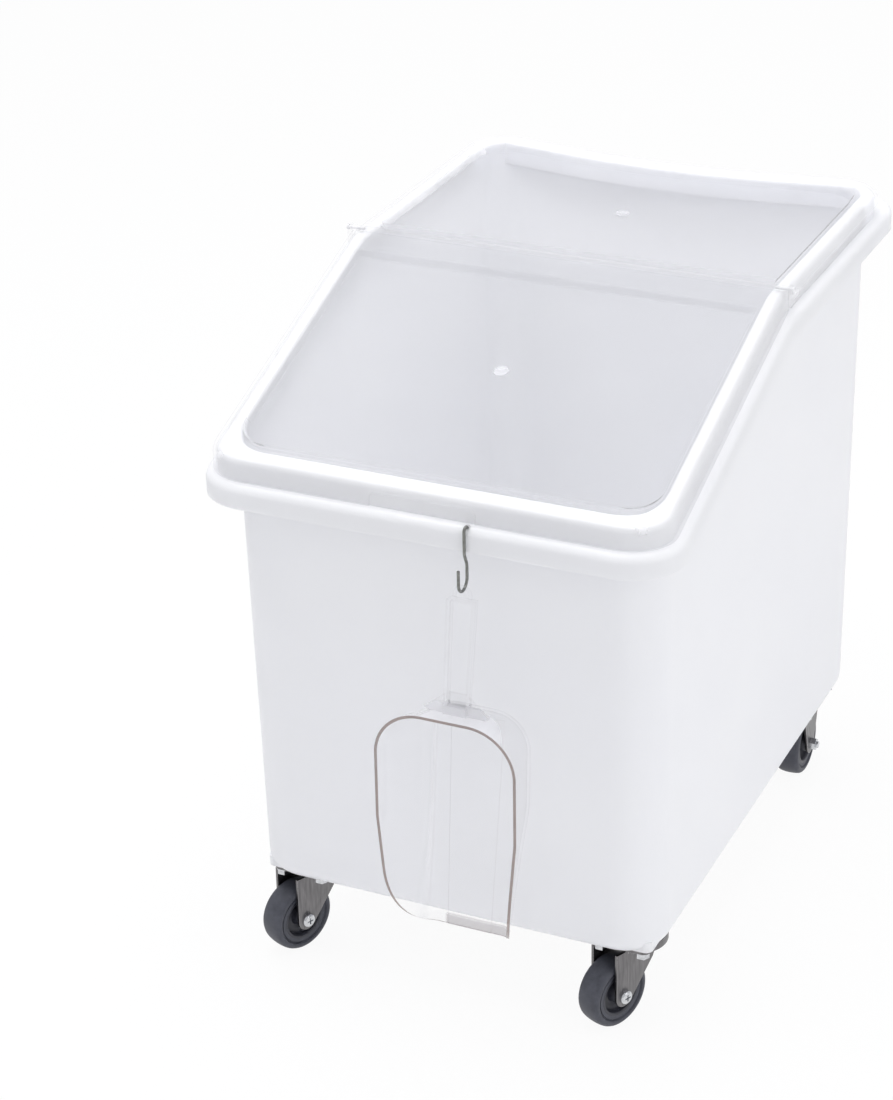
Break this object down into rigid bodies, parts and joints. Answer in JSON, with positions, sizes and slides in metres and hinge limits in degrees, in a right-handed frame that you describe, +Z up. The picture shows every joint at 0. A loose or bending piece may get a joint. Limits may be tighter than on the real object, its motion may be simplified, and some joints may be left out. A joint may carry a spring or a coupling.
{
  "type": "mobile ingredient bin",
  "caption": "White slant-top tub on swivel and rigid casters, with a clear lid that lifts at the front and a clear scoop hanging from a wire hook.",
  "frame": {"origin": "on the floor, under the middle of the whole object's box", "axes": "+Z up, +Y to the back of the bin, +X to the right of someone who faces its front"},
  "size_m": [0.4984, 0.8054, 0.7167],
  "materials": {
    "tub_white": "satin moulded polyethylene",
    "lid_clear": "clear polycarbonate, polished",
    "scoop_clear": "clear polycarbonate, polished",
    "hook_wire": "dull bent wire",
    "fork_steel": "zinc-plated pressed steel",
    "bright_steel": "bright plated fasteners",
    "tread_grey": "grey-blue thermoplastic rubber",
    "hub_dark": "dark moulded hub",
    "insert_brass": "plain turned"
  },
  "bodies": {
    "bin": {"tub": "tub_white", "threaded_inserts": "insert_brass", "caster_screws": "bright_steel", "spring_washers": "bright_steel", "front_left_plate": "fork_steel", "front_left_kingpin": "bright_steel", "front_left_kingpin_nut": "bright_steel", "front_right_plate": "fork_steel", "front_right_kingpin": "bright_steel", "front_right_kingpin_nut": "bright_steel", "rear_left_rigid_fork": "fork_steel", "rear_left_axle_sleeve": "bright_steel", "rear_left_axle_bolt": "bright_steel", "rear_left_axle_nut": "bright_steel", "rear_right_rigid_fork": "fork_steel", "rear_right_axle_sleeve": "bright_steel", "rear_right_axle_bolt": "bright_steel", "rear_right_axle_nut": "bright_steel"},
    "rear_lid": {"rear_lid": "lid_clear", "lid_hinge_pins": "lid_clear"},
    "front_lid": {"front_lid": "lid_clear"},
    "hook": {"s_hook": "hook_wire"},
    "scoop": {"scoop": "scoop_clear"},
    "front_left_wheel": {"front_left_wheel_tread": "tread_grey", "front_left_wheel_hub": "hub_dark"},
    "front_left_caster": {"front_left_swivel_fork": "fork_steel", "front_left_swivel_balls": "bright_steel", "front_left_axle_sleeve": "bright_steel", "front_left_axle_bolt": "bright_steel", "front_left_axle_nut": "bright_steel"},
    "front_right_wheel": {"front_right_wheel_tread": "tread_grey", "front_right_wheel_hub": "hub_dark"},
    "front_right_caster": {"front_right_swivel_fork": "fork_steel", "front_right_swivel_balls": "bright_steel", "front_right_axle_sleeve": "bright_steel", "front_right_axle_bolt": "bright_steel", "front_right_axle_nut": "bright_steel"},
    "rear_left_wheel": {"rear_left_wheel_tread": "tread_grey", "rear_left_wheel_hub": "hub_dark"},
    "rear_right_wheel": {"rear_right_wheel_tread": "tread_grey", "rear_right_wheel_hub": "hub_dark"}
  },
  "joints": [
    {"name": "lids_lift_off", "type": "slide", "parent": "bin", "child": "rear_lid", "axis": [0, 0, 1], "range_m": [0, 0.15]},
    {"name": "front_lid_hinge", "type": "hinge", "parent": "rear_lid", "child": "front_lid", "pos_m": [0, 0.02025, 0.71175], "axis": [-1, 0, 0], "range_deg": [0, 120]},
    {"name": "hook_swing", "type": "hinge", "parent": "bin", "child": "hook", "pos_m": [0.0485, -0.34415, 0.57375], "axis": [1, 0, 0], "range_deg": [-8, 0]},
    {"name": "scoop_swing", "type": "hinge", "parent": "hook", "child": "scoop", "pos_m": [0.0485, -0.35275, 0.5191], "axis": [1, 0, 0], "range_deg": [-60, 4]},
    {"name": "front_left_swivel", "type": "hinge", "parent": "bin", "child": "front_left_caster", "pos_m": [-0.18, -0.23075, 0.088], "axis": [0, 0, 1], "continuous": true},
    {"name": "front_left_wheel_spin", "type": "hinge", "parent": "front_left_caster", "child": "front_left_wheel", "pos_m": [-0.19342, -0.2609, 0.038], "axis": [0.9135, -0.4067, 0], "continuous": true},
    {"name": "front_right_swivel", "type": "hinge", "parent": "bin", "child": "front_right_caster", "pos_m": [0.18, -0.23075, 0.088], "axis": [0, 0, 1], "continuous": true},
    {"name": "front_right_wheel_spin", "type": "hinge", "parent": "front_right_caster", "child": "front_right_wheel", "pos_m": [0.16658, -0.2609, 0.038], "axis": [0.9135, -0.4067, 0], "continuous": true},
    {"name": "rear_left_wheel_spin", "type": "hinge", "parent": "bin", "child": "rear_left_wheel", "pos_m": [-0.183, 0.28825, 0.038], "axis": [1, 0, 0], "continuous": true},
    {"name": "rear_right_wheel_spin", "type": "hinge", "parent": "bin", "child": "rear_right_wheel", "pos_m": [0.183, 0.28825, 0.038], "axis": [1, 0, 0], "continuous": true}
  ]
}
